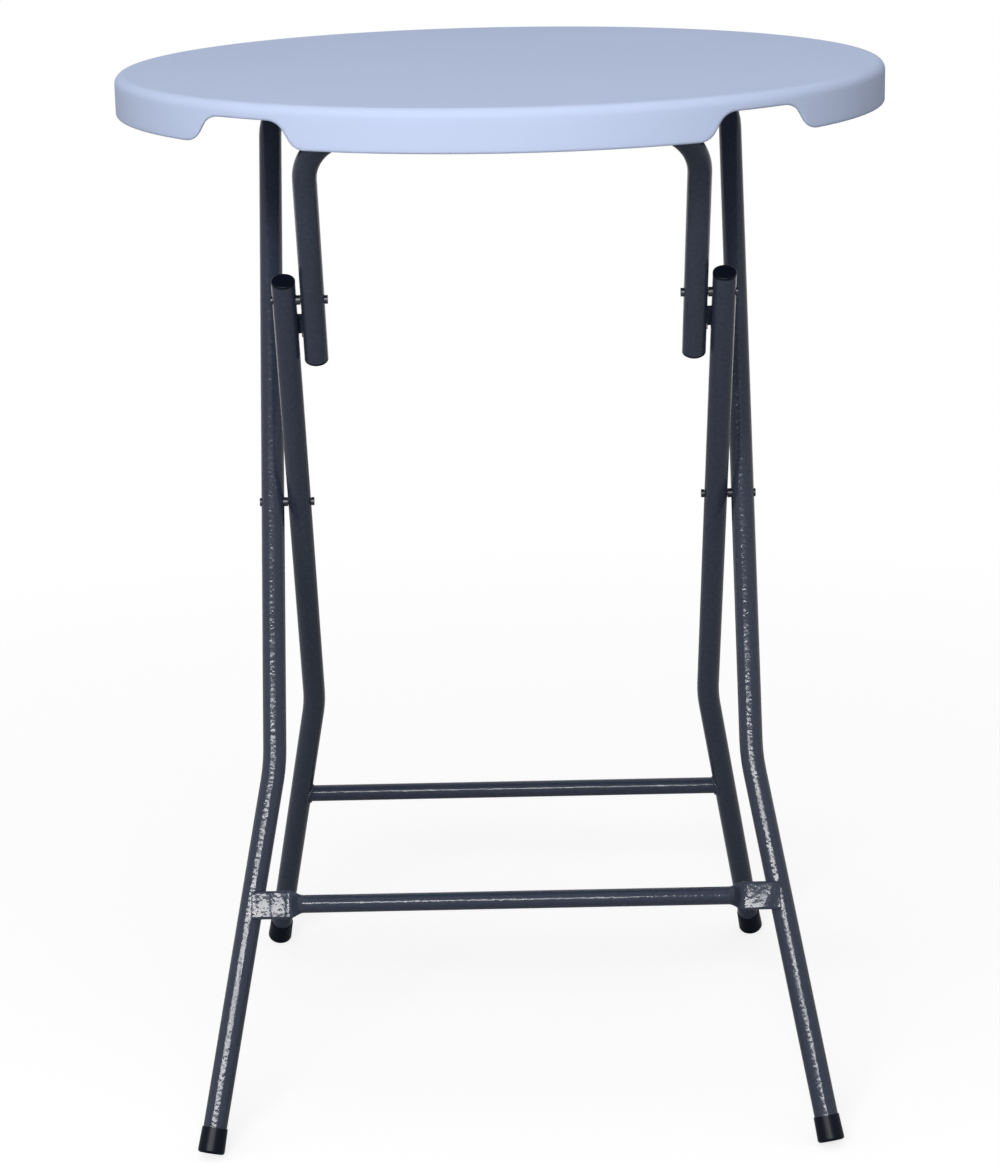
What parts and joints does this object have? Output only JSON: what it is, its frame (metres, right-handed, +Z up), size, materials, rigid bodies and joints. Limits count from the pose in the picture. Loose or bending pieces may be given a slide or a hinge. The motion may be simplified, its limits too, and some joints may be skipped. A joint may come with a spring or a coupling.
{
  "type": "folding bar table",
  "caption": "Tall round folding bar table with a moulded top, crossed tube legs, a folding link frame under the top, stretchers and black foot caps.",
  "frame": {"origin": "on the floor under the middle of the top", "axes": "+Z up, front legs towards -Y, +X to the right seen from the front"},
  "size_m": [0.7999, 0.8, 1.1],
  "materials": {
    "moulded_top": "fine-grained moulded plastic, bluish white",
    "hammered_coat": "glossy hammered dark slate coat",
    "black_plastic": "satin black",
    "rivet_steel": "dark plated",
    "zinc_steel": "zinc plated"
  },
  "bodies": {
    "top": {"tabletop": "moulded_top", "saddle_leg_left": "zinc_steel", "saddle_leg_right": "zinc_steel", "saddle_link_left": "zinc_steel", "saddle_link_right": "zinc_steel", "saddle_screws": "zinc_steel"},
    "front_legs": {"leg_hinge_bar": "hammered_coat", "front_stretcher": "hammered_coat", "front_leg_left": "hammered_coat", "front_leg_right": "hammered_coat", "front_foot_left": "black_plastic", "front_foot_right": "black_plastic", "scissor_rivet_left": "rivet_steel", "scissor_rivet_right": "rivet_steel", "scissor_spacer_left": "rivet_steel", "scissor_spacer_right": "rivet_steel"},
    "rear_legs": {"rear_stretcher": "hammered_coat", "rear_leg_left": "hammered_coat", "rear_leg_right": "hammered_coat", "rear_foot_left": "black_plastic", "rear_foot_right": "black_plastic", "rear_plug_left": "black_plastic", "rear_plug_right": "black_plastic", "upper_rivet_left": "rivet_steel", "upper_rivet_right": "rivet_steel", "upper_spacer_left": "rivet_steel", "upper_spacer_right": "rivet_steel"},
    "link": {"link_hinge_bar": "hammered_coat", "link_arm_left": "hammered_coat", "link_arm_right": "hammered_coat", "link_plug_left": "black_plastic", "link_plug_right": "black_plastic", "stop_lug_left": "hammered_coat", "stop_lug_right": "hammered_coat", "link_rivet_left": "rivet_steel", "link_rivet_right": "rivet_steel"}
  },
  "joints": [
    {"name": "front_legs_fold", "type": "hinge", "parent": "top", "child": "front_legs", "pos_m": [0, 0.20127, 1.056], "axis": [-1, 0, 0], "range_deg": [0, 64.1]},
    {"name": "scissor_pivot", "type": "hinge", "parent": "front_legs", "child": "rear_legs", "pos_m": [0, 0, 0.632], "axis": [-1, 0, 0], "range_deg": [0, 50.6]},
    {"name": "link_fold", "type": "hinge", "parent": "top", "child": "link", "pos_m": [0, -0.20127, 1.056], "axis": [1, 0, 0], "range_deg": [0, 64.4]}
  ],
  "couplings": [
    {"joint": "scissor_pivot", "follows": "front_legs_fold", "ratio": 0.78922},
    {"joint": "link_fold", "follows": "front_legs_fold", "ratio": 1.0041}
  ]
}
